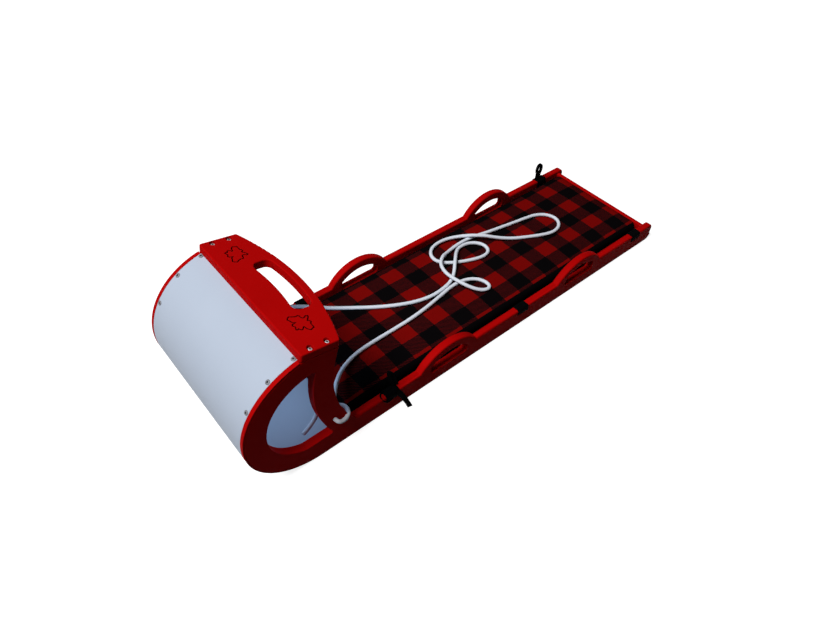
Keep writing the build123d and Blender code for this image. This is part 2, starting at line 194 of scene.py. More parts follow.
def carried_frames(places):
    """Directions along and across a line, carried along it without twisting."""
    ahead = np.gradient(places, axis=0)
    ahead /= np.linalg.norm(ahead, axis=1)[:, None]
    start = np.array((0.0, 0.0, 1.0))
    if abs(ahead[0] @ start) > 0.9:
        start = np.array((0.0, 1.0, 0.0))
    across = np.zeros_like(ahead)
    for index, direction in enumerate(ahead):
        start = start - direction * (start @ direction)
        start /= np.linalg.norm(start)
        across[index] = start
    return ahead, across, np.cross(ahead, across)


def joined_rings(rings, size):
    """Faces that join each ring of points to the next one."""
    faces = []
    for ring in range(rings - 1):
        here, after = ring * size, (ring + 1) * size
        faces += [(here + k, here + (k + 1) % size, after + (k + 1) % size, after + k) for k in range(size)]
    return faces


def uvs_of_rings(along, rounds):
    """The UVs of those faces in metres: first along the line, then round the ring."""
    uvs = []
    for here, after in zip(along[:-1], along[1:]):
        for first, second in rounds:
            uvs += [(here, first), (here, second), (after, second), (after, first)]
    return uvs


def mesh_piece(name, vertices, faces, finish=None, uvs=None, smooth=True):
    """Make an object from points and faces, with UVs in metres if they are given."""
    mesh = bpy.data.meshes.new(name)
    mesh.from_pydata([tuple(v) for v in vertices], [], faces)
    if uvs is not None:
        layer = mesh.uv_layers.new(name="metres")
        layer.data.foreach_set("uv", np.asarray(uvs, dtype=np.float32).ravel())
    if smooth:
        mesh.polygons.foreach_set("use_smooth", [True] * len(mesh.polygons))
    mesh.update()
    piece = bpy.data.objects.new(name, mesh)
    bpy.context.scene.collection.objects.link(piece)
    if finish is not None:
        mesh.materials.append(finish)
    return piece


print("mesh helpers ready")

# %% [markdown]
# ## Building finishes from nodes
#
# A finish is a graph of nodes that ends in one Principled shader. What is the same all over the surface,
# such as its roughness, is typed into the shader. What changes from place to place, such as a weave, comes
# in through a link. The simplest finishes only have fine specks, so they share one function.

# %% Helpers that build a finish
def start_finish(name, colour, roughness, specular, **sockets):
    """A new material whose plain numbers are set on the shader itself."""
    material = bpy.data.materials.new(name)
    material.use_nodes = True
    shader = material.node_tree.nodes["Principled BSDF"]
    shader.inputs["Base Color"].default_value = (*colour, 1.0)
    shader.inputs["Roughness"].default_value = roughness
    shader.inputs["Specular IOR Level"].default_value = specular
    for socket, value in sockets.items():
        shader.inputs[socket.replace("_", " ")].default_value = value
    return material, material.node_tree, shader


def put(tree, kind, *inputs, **settings):
    """Add a node. Each input is a socket's name or number, then a value or another node's output."""
    node = tree.nodes.new(kind)
    for name, value in settings.items():
        setattr(node, name, value)
    for socket, value in inputs:
        if isinstance(value, bpy.types.NodeSocket):
            tree.links.new(value, node.inputs[socket])
        else:
            node.inputs[socket].default_value = value
    return node


def calc(tree, operation, first, second=0.0, third=0.0):
    """One sum, product or comparison."""
    node = put(tree, "ShaderNodeMath", (0, first), (1, second), (2, third), operation=operation)
    return node.outputs[0]


def on_object(tree):
    """The place on the object, in metres."""
    return put(tree, "ShaderNodeTexCoord").outputs["Object"]


def on_cloth(tree):
    """The place along and across a cloth, rope or band, in metres."""
    return put(tree, "ShaderNodeUVMap", uv_map="metres").outputs[0]


def noise(tree, place, scale, detail):
    """Soft random values. Output 0 is a number and output 1 a colour."""
    return put(tree, "ShaderNodeTexNoise", ("Vector", place), ("Scale", scale), ("Detail", detail)).outputs


def blend_colours(tree, share, first, second):
    """Two colours mixed by a share from 0 to 1."""
    node = put(tree, "ShaderNodeMix", (0, share), (6, first), (7, second), data_type="RGBA")
    return node.outputs[2]


def paint(tree, shader, share, first, second):
    """Colour the shader with two colours mixed by a share from 0 to 1."""
    tree.links.new(blend_colours(tree, share, first, second), shader.inputs["Base Color"])


def rough_up(tree, shader, height, distance, strength, normal=None):
    """Give the shader small bumps of this height."""
    inputs = [("Height", height), ("Distance", distance), ("Strength", strength)]
    if normal is not None:
        inputs.append(("Normal", normal))
    bump = put(tree, "ShaderNodeBump", *inputs)
    tree.links.new(bump.outputs["Normal"], shader.inputs["Normal"])


def speckled(name, plain, dark, light, scale, detail, roughness, specular, metallic=0.0, bumpy=False):
    """A finish of fine specks between a dark and a light colour."""
    material, tree, shader = start_finish(name, plain, roughness, specular, Metallic=metallic)
    specks = noise(tree, on_object(tree), scale, detail)[0]
    paint(tree, shader, specks, (*dark, 1.0), (*light, 1.0))
    if bumpy:
        rough_up(tree, shader, specks, 0.00005, 0.4)
    return material


print("finish helpers ready")

# %% [markdown]
# ## Red sheet plastic
#
# The panels and the board are cut from through-coloured plastic sheet with a satin face. Its router-cut
# edges are slightly rounded and rub a little paler. A Bevel node rounds the edges for the light only, and
# where its direction differs from the face's own, the paler colour goes. That paler colour is partly wear
# and partly a painted highlight, standing in for the light that the rounded edges catch.

# %% Red plastic
def red_plastic():
    material, tree, shader = start_finish("red_sheet_plastic", (0.42, 0.002, 0.002), 0.6, 0.015)
    place = on_object(tree)
    clouds = noise(tree, place, 14.0, 4.0)[0]
    face = blend_colours(tree, clouds, (0.40, 0.0012, 0.0012, 1.0), (0.46, 0.0020, 0.0020, 1.0))
    rounded = put(tree, "ShaderNodeBevel", ("Radius", 0.0014), samples=6).outputs[0]
    plain = put(tree, "ShaderNodeNewGeometry").outputs["Normal"]
    likeness = put(tree, "ShaderNodeVectorMath", (0, rounded), (1, plain), operation="DOT_PRODUCT")
    turned = calc(tree, "SUBTRACT", 1.0, likeness.outputs["Value"])
    # Paler where the Bevel normal turns away from the face: partly rubbed wear, partly a painted highlight
    # along the rounded edges.
    scuffs_and_highlight = noise(tree, place, 130.0, 3.0)[0]
    edge = calc(tree, "MULTIPLY", turned, calc(tree, "MULTIPLY", scuffs_and_highlight, 2.6))
    paint(tree, shader, calc(tree, "MINIMUM", edge, 0.45), face, (0.62, 0.012, 0.010, 1.0))
    grain = noise(tree, place, 700.0, 2.0)[0]
    rough_up(tree, shader, grain, 0.00012, 0.6, rounded)
    return material


def dress(node_names, material):
    """Give a finish to nodes of the frame."""
    for name in node_names:
        nodes[name].data.materials.clear()
        nodes[name].data.materials.append(material)


red = red_plastic()
dress(("side_panel_left", "side_panel_right", "grip_board", "rear_crossbar"), red)
print("red plastic dressed")

# %% [markdown]
# ## Shapes that join or cut
#
# A Boolean modifier joins a second shape to a piece or takes it away. That shape has to be closed, with its
# faces turned outwards, and it is hidden, because only the modifier needs it.

# %% Helpers for Boolean modifiers
def hidden_tool(name, vertices, faces, finish):
    """A closed shape for a modifier, with its faces turned outwards. It is never drawn."""
    tool = mesh_piece(name, vertices, faces, finish, smooth=False)
    shaped = bmesh.new()
    shaped.from_mesh(tool.data)
    bmesh.ops.recalc_face_normals(shaped, faces=shaped.faces)
    shaped.to_mesh(tool.data)
    shaped.free()
    tool.hide_render = True
    tool.hide_viewport = True
    return tool


def combine(node_name, label, operation, tool):
    """Join a tool to a node of the frame with UNION, or take it away with DIFFERENCE."""
    change = nodes[node_name].modifiers.new(label, "BOOLEAN")
    change.operation = operation
    change.solver = "EXACT"
    change.object = tool
    return change


print("Boolean helpers ready")

# %% [markdown]
# ## The panels' rims
#
# Under and in front, the sheet lies between the two panels' rims and is flush with them. The solid panels
# stop at the sheet's inner face, so a narrow strip of red is joined on outside each one. It follows the
# rail's underside and the curl as far as the board, and starts a little inside the panel, because two
# shapes that only touch don't join well.

# %% Bring the rims level with the sheet
RIM_IN, RIM_OUT = 0.1699, 0.1789
RIM_THICK = 0.0020
RIM_OVERLAP = 0.0008
CURL_X, CURL_Z = 0.496, 0.164
CURL_RADIUS = 0.162
TIP_ROUND = 0.016
# The angle round the curl at which the board's front edge covers the rim
BOARD_FRONT = 78.9

curl_centre = Vector((CURL_X, 0.0, CURL_Z))


def rim_strip(name, side, rear):
    """A closed strip along a panel's lower and front edge."""
    corner = Vector((rear + TIP_ROUND, 0.0, RIM_THICK + TIP_ROUND))
    arcs = [(corner, TIP_ROUND, angle) for angle in np.linspace(-178.0, -90.0, 12)]
    arcs += [(curl_centre, CURL_RADIUS, angle) for angle in np.linspace(-90.0, BOARD_FRONT, 90)]
    vertices = []
    for centre, radius, angle in arcs:
        out = Vector((cos(radians(angle)), 0.0, sin(radians(angle))))
        for reach in (radius - RIM_OVERLAP, radius + RIM_THICK):
            vertices += [centre + out * reach + Vector((0.0, side * y, 0.0)) for y in (RIM_IN, RIM_OUT)]
    faces = []
    for first in range(0, len(vertices) - 4, 4):
        for a, b in ((0, 1), (1, 3), (3, 2), (2, 0)):
            faces.append((first + a, first + b, first + 4 + b, first + 4 + a))
    faces += [(0, 2, 3, 1), tuple(len(vertices) - 4 + k for k in (0, 1, 3, 2))]
    return hidden_tool(name, vertices, faces, red)


for side, name in ((1, "left"), (-1, "right")):
    panel_name = "side_panel_" + name
    strip = rim_strip("rim_strip_" + name, side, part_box(panel_name)[0].x)
    combine(panel_name, "rim", "UNION", strip)
print("rims stand", RIM_THICK * 1000, "mm further out")

# %% [markdown]
# ## White sheet
#
# The bottom and the curl's cover are one thin sheet of white plastic. It is nearly plain, so what makes it
# look real is a faint unevenness of its colour, and the fine scratches that snow and grit leave along the
# sled. A noise squeezed sideways gives long thin streaks, and its highest values count as scratches.

# %% White sheet
def white_plastic():
    material, tree, shader = start_finish("white_sheet_plastic", (0.47, 0.54, 0.65), 0.5, 0.1)
    place = on_object(tree)
    clouds = noise(tree, place, 7.0, 3.0)[0]
    face = blend_colours(tree, clouds, (0.455, 0.52, 0.63, 1.0), (0.49, 0.555, 0.665, 1.0))
    stretched = put(tree, "ShaderNodeMapping", ("Vector", place), ("Scale", (6.0, 900.0, 6.0))).outputs[0]
    scratches = noise(tree, stretched, 1.0, 2.0)[0]
    deep = calc(tree, "GREATER_THAN", scratches, 0.72)
    paint(tree, shader, calc(tree, "MULTIPLY", deep, 0.15), face, (0.40, 0.45, 0.55, 1.0))
    rough_up(tree, shader, scratches, 0.00004, 0.5)
    return material


dress(("runner_sheet",), white_plastic())
print("white sheet dressed")

# %% [markdown]
# ## Buffalo check
#
# Where two red bands cross the cloth is red, where two black ones cross it is black, and where they differ
# the two colours lie in fine slanting lines. The same sums make it here, from the cloth's own coordinates
# in metres, so the check follows the cloth over its edges. Further than a set distance from the middle
# across the pad, over its rounded side edges and sides, the cover is coloured black.

# %% Buffalo check cloth
CHECK_ALONG = 0.050
CHECK_ACROSS = 0.043
# Where a red band starts along the sled, and where one starts across it
CHECK_START = (0.2125, -0.1245)
BLACK_SIDES_FROM = 0.1425
LINE_WAY = (0.652, 0.758)
LINE_STEP = 0.004


def check_bands(tree, axes):
    """For each of the two ways, 1 on the red bands and 0 on the black ones."""
    bands = []
    ways = ((axes[0], CHECK_START[0], CHECK_ALONG), (axes[1], CHECK_START[1], CHECK_ACROSS))
    for value, start, width in ways:
        sign = -1.0 if start > 0 else 1.0
        steps = calc(tree, "MULTIPLY_ADD", value, sign / (2 * width), -sign * start / (2 * width))
        bands.append(calc(tree, "LESS_THAN", calc(tree, "FRACT", steps), 0.5))
    return bands


def check_cloth():
    material, tree, shader = start_finish("buffalo_check", (0.16, 0.01, 0.012), 0.95, 0.0)
    cloth = on_cloth(tree)
    sway = noise(tree, cloth, 60.0, 2.0)[1]
    even = put(tree, "ShaderNodeVectorMath", (0, sway), (1, (0.5, 0.5, 0.5)), operation="SUBTRACT").outputs[0]
    small = put(tree, "ShaderNodeVectorMath", (0, even), ("Scale", 0.0035), operation="SCALE").outputs[0]
    bent = put(tree, "ShaderNodeVectorMath", (0, cloth), (1, small), operation="ADD").outputs[0]
    axes = put(tree, "ShaderNodeSeparateXYZ", (0, bent)).outputs
    along_band, across_band = check_bands(tree, axes)
    both = calc(tree, "MULTIPLY", along_band, across_band)
    either = calc(tree, "SUBTRACT", calc(tree, "MAXIMUM", along_band, across_band), both)
    along_lines = calc(tree, "MULTIPLY", axes[0], LINE_WAY[0] / LINE_STEP)
    across_lines = calc(tree, "MULTIPLY", axes[1], LINE_WAY[1] / LINE_STEP)
    slant = calc(tree, "ADD", along_lines, across_lines)
    lines = calc(tree, "LESS_THAN", calc(tree, "FRACT", slant), 0.42)
    fuzz = noise(tree, cloth, 1500.0, 2.0)[0]
    red_thread = blend_colours(tree, fuzz, (0.135, 0.0015, 0.0012, 1.0), (0.255, 0.0042, 0.0033, 1.0))
    black_thread = blend_colours(tree, fuzz, (0.0015, 0.0012, 0.0015, 1.0), (0.005, 0.004, 0.0045, 1.0))
    mixed = blend_colours(tree, lines, black_thread, (0.075, 0.0045, 0.005, 1.0))
    ground = blend_colours(tree, either, black_thread, mixed)
    checked = blend_colours(tree, both, ground, red_thread)
    sideways = put(tree, "ShaderNodeSeparateXYZ", (0, cloth)).outputs[1]
    # Further than a set distance across the pad, over the rounded side edges and sides, the cloth is coloured
    # black.
    black_sides = calc(tree, "GREATER_THAN", calc(tree, "ABSOLUTE", sideways), BLACK_SIDES_FROM)
    paint(tree, shader, black_sides, checked, black_thread)
    wales = calc(tree, "SINE", calc(tree, "MULTIPLY", slant, 8 * pi))
    height = calc(tree, "ADD", calc(tree, "MULTIPLY", wales, 0.3), fuzz)
    rough_up(tree, shader, height, 0.0003, 0.8)
    return material


check = check_cloth()
print("check: squares of", CHECK_ALONG * 1000, "by", CHECK_ACROSS * 1000, "mm")

# %% [markdown]
# ## The pad
#
# The pad is foam in a sewn cover. A solid block would have dead straight sides, so the pad starts as a grid
# of small squares, a little lower and narrower than the cushion node, which it replaces. Its front reaches
# further forward than the node's, to where it shows in the picture. The UVs are in metres and unfold the
# pad's sides.

# %% Start the pad as a rounded grid
PAD_CELL = 0.010
PAD_ROUND = 0.018
PAD_SWELL = 0.0045
PAD_FRONT = 0.033
PAD_REAR = 0.003
PAD_MARGIN = 0.003


def unfolded(corner, axis, low, high):
    """A point's place on the cloth, if the pad's sides were folded out flat."""
    x, y, z = corner
    down = high[2] - z
    if axis == 0:
        return (high[0] + down if x > 0 else low[0] - down, y)
    if axis == 1:
        return (x, high[1] + down if y > 0 else low[1] - down)
    return (x, y)


def rounded_off(corner, low, high, rounding):
    """A point of a box, drawn in where the box's edges are rounded."""
    core = [min(max(c, lo + rounding), hi - rounding) for c, lo, hi in zip(corner, low, high)]
    out = Vector(corner) - Vector(core)
    reach = min(out.length, rounding)
    return Vector(core) + (out.normalized() * reach if reach else out)


def boxed_grid(low, high, cell, rounding):
    """Points, square faces and unfolded UVs of a box with rounded edges."""
    counts = [max(2, round((b - a) / cell)) for a, b in zip(low, high)]
    keys = {}
    vertices = []
    faces = []
    uvs = []
    for axis in range(3):
        across, up = (axis + 1) % 3, (axis + 2) % 3
        for end in (0, counts[axis]):
            for i, j in [(i, j) for i in range(counts[across]) for j in range(counts[up])]:
                ring = [(i, j), (i + 1, j), (i + 1, j + 1), (i, j + 1)]
                face = []
                for a, b in ring if end else ring[::-1]:
                    key = [0, 0, 0]
                    key[axis], key[across], key[up] = end, a, b
                    corner = [lo + (hi - lo) * k / n for lo, hi, k, n in zip(low, high, key, counts)]
                    uvs.append(unfolded(corner, axis, low, high))
                    if tuple(key) not in keys:
                        keys[tuple(key)] = len(vertices)
                        vertices.append(rounded_off(corner, low, high, rounding))
                    face.append(keys[tuple(key)])
                faces.append(face)
    return vertices, faces, uvs


pad_low, pad_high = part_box("cushion")
start_low = pad_low + Vector((-PAD_REAR, PAD_MARGIN, 0.0))
start_high = pad_high + Vector((PAD_FRONT, -PAD_MARGIN, -PAD_SWELL))
vertices, faces, uvs = boxed_grid(start_low, start_high, PAD_CELL, PAD_ROUND)
pad = mesh_piece("check_pad", vertices, faces, check, uvs)
print("pad:", len(pad.data.polygons), "squares")

# %% [markdown]
# ## Filling the pad
#
# A cloth simulation blows the cover up gently, which crowns the top and pulls the sides in between the
# corners. Each point's move is limited by a curve that levels off, so the pad keeps its size.

# %% Blow the pad up with a cloth simulation
PRESSURE = 3.5
FRAMES = 20
# How far the filled pad may pass the cushion node: to the rear, to the front, sideways and up
PAST_REAR, PAST_FRONT, PAST_SIDE, PAST_TOP = 0.0055, 0.037, 0.002, 0.0004


def swell(piece, pressure, frames, limit):
    """Let a closed piece swell as cloth. Returns its points, their limited moves and how far each went."""
    scene = bpy.context.scene
    start = np.array([v.co[:] for v in piece.data.vertices])
    stuffing = piece.modifiers.new("stuffing", "CLOTH")
    stuffing.settings.use_pressure = True
    stuffing.settings.uniform_pressure_force = pressure
    stuffing.settings.effector_weights.gravity = 0.0
    stuffing.settings.quality = 6
    stuffing.point_cache.frame_end = frames
    for frame_number in range(1, frames + 1):
        scene.frame_set(frame_number)
    swollen = piece.evaluated_get(bpy.context.evaluated_depsgraph_get()).to_mesh()
    moved = np.array([v.co[:] for v in swollen.vertices]) - start
    piece.modifiers.remove(stuffing)
    scene.frame_set(1)
    far = np.linalg.norm(moved, axis=1)
    share = np.where(far > 0, limit * np.tanh(far / limit) / np.maximum(far, 1e-9), 0.0)
    return start, moved * share[:, None], far


start, moved, far = swell(pad, PRESSURE, FRAMES, PAD_SWELL)
shape = start + moved
print("the pad's cloth moved up to", round(float(far.max()) * 1000, 1), "mm")
shape[:, 2] = np.clip(shape[:, 2], pad_low.z, pad_high.z + PAST_TOP)
shape[:, 1] = np.clip(shape[:, 1], pad_low.y - PAST_SIDE, pad_high.y + PAST_SIDE)
shape[:, 0] = np.clip(shape[:, 0], pad_low.x - PAST_REAR, pad_high.x + PAST_FRONT)
pad.data.vertices.foreach_set("co", shape.ravel())
pad.data.update()
pad.modifiers.new("finer", "SUBSURF").render_levels = 1
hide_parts("cushion")
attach(pad, "root")
print("pad top", round(float(shape[:, 2].max()) * 1000, 1), "mm")

# %% [markdown]
# ## Braided rope
#
# A braid is many small strands that cross, so its surface is a net of low bumps. The large ones are in the
# tube's mesh, where two waves run round it in opposite directions. A finer net of the same kind is in the
# finish.

# %% Rope finish and braided tubes
BRAID_LAY = 0.035
BRAID_STRANDS = 4
BRAID_RELIEF = 0.0003
FINE_STRANDS = 8
ROPE_SIDES = 20


def rope_nylon():
    material, tree, shader = start_finish("white_rope_braid", (0.80, 0.84, 0.92), 0.7, 0.1)
    cloth = on_cloth(tree)
    axes = put(tree, "ShaderNodeSeparateXYZ", (0, cloth)).outputs
    turns = calc(tree, "MULTIPLY", axes[0], 2 * pi * FINE_STRANDS / BRAID_LAY)
    round_it = calc(tree, "MULTIPLY", axes[1], 2 * FINE_STRANDS / ROPE_D)
    one = calc(tree, "COSINE", calc(tree, "ADD", turns, round_it))
    other = calc(tree, "COSINE", calc(tree, "SUBTRACT", turns, round_it))
    net = calc(tree, "MULTIPLY_ADD", calc(tree, "MULTIPLY", one, other), 0.5, 0.5)
    soil = noise(tree, cloth, 40.0, 3.0)[0]
    face = blend_colours(tree, soil, (0.74, 0.79, 0.87, 1.0), (0.84, 0.88, 0.96, 1.0))
    paint(tree, shader, calc(tree, "MULTIPLY", net, 0.3), face, (0.52, 0.57, 0.66, 1.0))
    rough_up(tree, shader, net, 0.0003, 0.7)
    return material


def braided_tube(name, places, radius, step, finish):
    """A tube along a line, whose surface has the low bumps of a braid."""
    line, along = even_steps(places, step)
    ahead, up, side = carried_frames(line)
    angles = np.linspace(0.0, 2 * pi, ROPE_SIDES, endpoint=False)
    turn = 2 * pi * along[:, None] / BRAID_LAY
    one_way = np.cos(BRAID_STRANDS * (angles[None, :] + turn))
    other_way = np.cos(BRAID_STRANDS * (angles[None, :] - turn))
    radii = radius - BRAID_RELIEF * (0.5 - 0.5 * one_way * other_way)
    ring = np.cos(angles)[None, :, None] * up[:, None, :] + np.sin(angles)[None, :, None] * side[:, None, :]
    vertices = (line[:, None, :] + ring * radii[:, :, None]).reshape(-1, 3)
    faces = joined_rings(len(line), ROPE_SIDES)
    part = 2 * pi * radius / ROPE_SIDES
    uvs = uvs_of_rings(along, [(column * part, (column + 1) * part) for column in range(ROPE_SIDES)])
    for row, way in ((0, -1), (len(line) - 1, 1)):
        vertices = np.vstack([vertices, line[row] + way * ahead[row] * radius * 0.4])
        for column in range(ROPE_SIDES):
            edge = (row * ROPE_SIDES + column, row * ROPE_SIDES + (column + 1) % ROPE_SIDES)
            faces.append((*edge[::way], len(vertices) - 1))
            uvs += [(along[row], 0.0)] * 3
    return mesh_piece(name, vertices, faces, finish, uvs)


rope_finish = rope_nylon()
print("braid:", BRAID_STRANDS, "strands each way,", BRAID_LAY * 1000, "mm a turn")

# %% [markdown]
# ## The tow rope
#
# The tube follows points read from the spline.

# %% The tow rope
rope = braided_tube("braided_tow_rope", rope_line, ROPE_D / 2, 0.002, rope_finish)
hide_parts("tow_rope")
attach(rope, "root")
print("tow rope:", len(rope.data.polygons), "faces")

# %% [markdown]
# ## Stopper knots and tails
#
# Behind each panel the rope is tied in an overhand knot so that it can't slip out, and a short tail hangs
# from it. A knot is the rope's own line wound through itself: a trefoil, opened where the rope comes in and
# goes out. It is drawn tight, so its rope is thinner.

# %% Knots and tails
KNOT_LENGTH = 0.022
KNOT_SPREAD = 0.002294
KNOT_TIGHT = 0.92
TAIL = (
    (0.465, 0.1377, 0.098), (0.465, 0.126, 0.098), (0.468, 0.123, 0.077), (0.481, 0.131, 0.053),
    (0.514, 0.134, 0.036),
)


def knot_line(side):
    """An overhand knot along Y, from the hole's inner mouth inwards."""
    hole_x, start_y, hole_z = ROPE_LEFT[0]
    turns = np.linspace(-0.42 * pi, 1.42 * pi, 70)
    x = KNOT_SPREAD * (np.sin(turns) + 2 * np.sin(2 * turns))
    z = KNOT_SPREAD * (np.cos(turns) - 2 * np.cos(2 * turns))
    middle = (turns - turns.mean()) / (turns[-1] - turns[0])
    y = middle * KNOT_LENGTH * 0.55 + 0.0016 * np.sin(3 * turns)
    wound = np.stack([hole_x + x, side * (start_y - KNOT_LENGTH / 2 - y), hole_z + z], axis=1)
    entry = np.array((hole_x, side * start_y, hole_z))
    leave = np.array((hole_x, side * (start_y - KNOT_LENGTH), hole_z))
    pulls = [entry, *wound[::5], leave]
    return points_of(rope_spline("knot_line", [tuple(p) for p in pulls]))


for side, name in ((1, "left"), (-1, "right")):
    knot = braided_tube("knot_" + name, knot_line(side), ROPE_D / 2 * KNOT_TIGHT, 0.0015, rope_finish)
    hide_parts("rope_knot_" + name)
    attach(knot, "root")
    tail_line = points_of(rope_spline("tail_line", [(x, side * y, z) for x, y, z in TAIL]))
    tail = braided_tube("tail_" + name, tail_line, ROPE_D / 2, 0.002, rope_finish)
    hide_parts("rope_tail_" + name)
    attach(tail, "root")
    print(name, "tail", round(length_of(tail_line) * 1000, 1), "mm")

# %% [markdown]
# ## Webbing
#
# Webbing is a flat woven band. A modifier could bend a thin box, but it is simpler to carry a cross-section
# with thin rounded edges along the band's path. The weave's ribs and rows are two sine waves in the finish.

# %% Webbing finish and ribbons
WEAVE_RIB = 0.0016
WEAVE_ROW = 0.0022


def webbing():
    material, tree, shader = start_finish("black_webbing", (0.002, 0.002, 0.0025), 0.9, 0.01)
    cloth = on_cloth(tree)
    axes = put(tree, "ShaderNodeSeparateXYZ", (0, cloth)).outputs
    ribs = calc(tree, "SINE", calc(tree, "MULTIPLY", axes[0], 2 * pi / WEAVE_RIB))
    rows = calc(tree, "SINE", calc(tree, "MULTIPLY", axes[1], 2 * pi / WEAVE_ROW))
    weave = calc(tree, "MULTIPLY_ADD", calc(tree, "MULTIPLY", ribs, rows), 0.5, 0.5)
    dust = noise(tree, cloth, 90.0, 3.0)[0]
    light = calc(tree, "MULTIPLY", weave, dust)
    paint(tree, shader, light, (0.0008, 0.0008, 0.001, 1.0), (0.004, 0.004, 0.0045, 1.0))
    rough_up(tree, shader, weave, 0.0004, 0.8)
    return material


def ribbon(name, places, across, width, thickness, finish):
    """A flat band along a path, whose width lies as nearly as it can in the direction across."""
    places = np.asarray(places, dtype=float)
    across = np.broadcast_to(np.asarray(across, dtype=float), places.shape)
    ahead = np.gradient(places, axis=0)
    ahead /= np.linalg.norm(ahead, axis=1)[:, None]
    across = across - ahead * (across * ahead).sum(axis=1)[:, None]
    across = across / np.linalg.norm(across, axis=1)[:, None]
    up = np.cross(ahead, across)
    half, thin = width / 2, thickness / 2
    section = [(-half, 0.0), (-half + thin, thin)]
    section += [(half * share, thin) for share in (-0.5, 0.0, 0.5)]
    section += [(half - thin, thin), (half, 0.0), (half - thin, -thin)]
    section += [(half * share, -thin) for share in (0.5, 0.0, -0.5)]
    section += [(-half + thin, -thin)]
    size = len(section)
    along = np.concatenate([[0.0], np.cumsum(np.linalg.norm(np.diff(places, axis=0), axis=1))])
    vertices = [p + a * w + u * t for p, a, u in zip(places, across, up) for w, t in section]
    faces = joined_rings(len(places), size)
    uvs = uvs_of_rings(along, [(section[k][0], section[(k + 1) % size][0]) for k in range(size)])
    for row, turn in ((0, -1), (len(places) - 1, 1)):
        faces.append([row * size + k for k in range(size)][::turn])
        uvs += [(along[row], section[k][0]) for k in range(size)][::turn]
    return mesh_piece(name, vertices, faces, finish, uvs)


webbing_finish = webbing()
print("webbing: a rib every", WEAVE_RIB * 1000, "mm")

# %% [markdown]
# ## Straps
#
# Each strap holds the pad with one band over the rail's rounded top and down both faces, on a path worked
# out from the rail's size. Its loose parts, such as a hanging end or a loop, bend along a few pulling
# points, as the rope does.

# %% Straps over the rails
RAIL_IN = 0.160
RAIL_OUT = 0.179
RAIL_TOP = 0.054
RAIL_ROUND = 0.004
BAND_WIDTH = 0.038
BAND_T = 0.0020
BAND_GAP = 0.0003
BAND_INNER_END = 0.036
# Each strap: its node, x, side and how low it reaches on the outer face
STRAP_BANDS = (
    ("strap_left_front", 0.312, 1, 0.037),
    ("strap_left_middle", -0.105, 1, 0.041),
    ("strap_left_rear", -0.576, 1, 0.037),
    ("strap_right_front", 0.312, -1, 0.028),
    ("strap_right_rear", -0.555, -1, 0.028),
)
# Each loose part: its strap, name, width direction, width, thickness and pulling points
LOOSE_PARTS = (
    ("strap_left_front", "free_end", (1.0, 0.0, 0.0), 0.0125, 0.0018, (
        (0.3, 0.182, 0.053), (0.297, 0.1835, 0.048), (0.288, 0.1835, 0.03), (0.2775, 0.1845, 0.006),
        (0.2765, 0.19, 0.0014), (0.279, 0.2015, 0.0014),
    )),
    ("strap_left_front", "fold", (0.0, 0.8, 0.6), 0.014, 0.0068, (
        (0.299, 0.163, 0.057), (0.299, 0.156, 0.066), (0.2995, 0.148, 0.075), (0.295, 0.143, 0.08),
        (0.2905, 0.148, 0.075), (0.291, 0.156, 0.066), (0.291, 0.163, 0.057),
    )),
    ("strap_left_front", "slack", (0.0, 0.7, 0.7), 0.004, 0.0026, (
        (0.3251, 0.1622, 0.056), (0.3375, 0.1643, 0.056), (0.3415, 0.1727, 0.056), (0.3385, 0.181, 0.0478),
        (0.3228, 0.181, 0.0331), (0.3133, 0.181, 0.0424),
    )),
    ("strap_right_rear", "standing_loop", (0.0, 1.0, 0.0), 0.011, 0.0064, (
        (-0.5395, -0.17, 0.057), (-0.5395, -0.17, 0.078), (-0.5335, -0.17, 0.086), (-0.5335, -0.17, 0.101),
        (-0.5425, -0.17, 0.112), (-0.553, -0.17, 0.101), (-0.5525, -0.17, 0.086), (-0.548, -0.17, 0.078),
        (-0.548, -0.17, 0.057),
    )),
)


def over_rail(x, side, inner_z, outer_z):
    """A band's path over one rail at x, from its inner face to its outer face."""
    lift = BAND_T / 2 + BAND_GAP
    inner, outer, top = RAIL_IN - lift, RAIL_OUT + lift, RAIL_TOP + lift
    bend = RAIL_ROUND + lift
    path = [(x, inner, inner_z + (top - bend - inner_z) * t) for t in (0.0, 0.5)]
    for turn in np.linspace(pi, pi / 2, 6):
        path.append((x, inner + bend + bend * cos(turn), top - bend + bend * sin(turn)))
    for turn in np.linspace(pi / 2, 0.0, 6):
        path.append((x, outer - bend + bend * cos(turn), top - bend + bend * sin(turn)))
    path += [(x, outer, top - bend + (outer_z - top + bend) * t) for t in (0.5, 1.0)]
    return [(px, side * py, pz) for px, py, pz in path]


def join_pieces(name, pieces):
    """Join several meshes into one piece."""
    with bpy.context.temp_override(active_object=pieces[0], selected_editable_objects=pieces):
        bpy.ops.object.join()
    pieces[0].name = name
    return pieces[0]


for node_name, x, side, reach in STRAP_BANDS:
    path = over_rail(x, side, BAND_INNER_END, reach)
    parts = [ribbon("band", path, (1.0, 0.0, 0.0), BAND_WIDTH, BAND_T, webbing_finish)]
    for owner, part_name, across, width, thickness, pulls in LOOSE_PARTS:
        if owner == node_name:
            path = points_of(rope_spline("webbing_path", pulls))
            parts.append(ribbon(part_name, path, across, width, thickness, webbing_finish))
    strap = join_pieces("webbing_" + node_name[6:], parts)
    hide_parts(node_name)
    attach(strap, "root")
print("straps:", len(STRAP_BANDS), "with", len(LOOSE_PARTS), "loose parts")

# %% [markdown]
# ## Screws
#
# A screw's head is a turned shape, so it is made of rings from a short profile, and a six-sided recess
# drops into its middle. The recess is coloured nearly black, which is painted shade. The board's screws
# are bare steel and the sheet's smaller ones have a dull grey coating.

# %% A screw and its finishes
HEAD_SIDES = 24
# The head's outline, from its foot to its top: shares of its radius and of its height
HEAD_PROFILE = ((1.0, 0.0), (1.0, 0.25), (0.93, 0.55), (0.78, 0.8), (0.6, 0.95), (0.46, 1.0))
RECESS_SHARE = 0.42

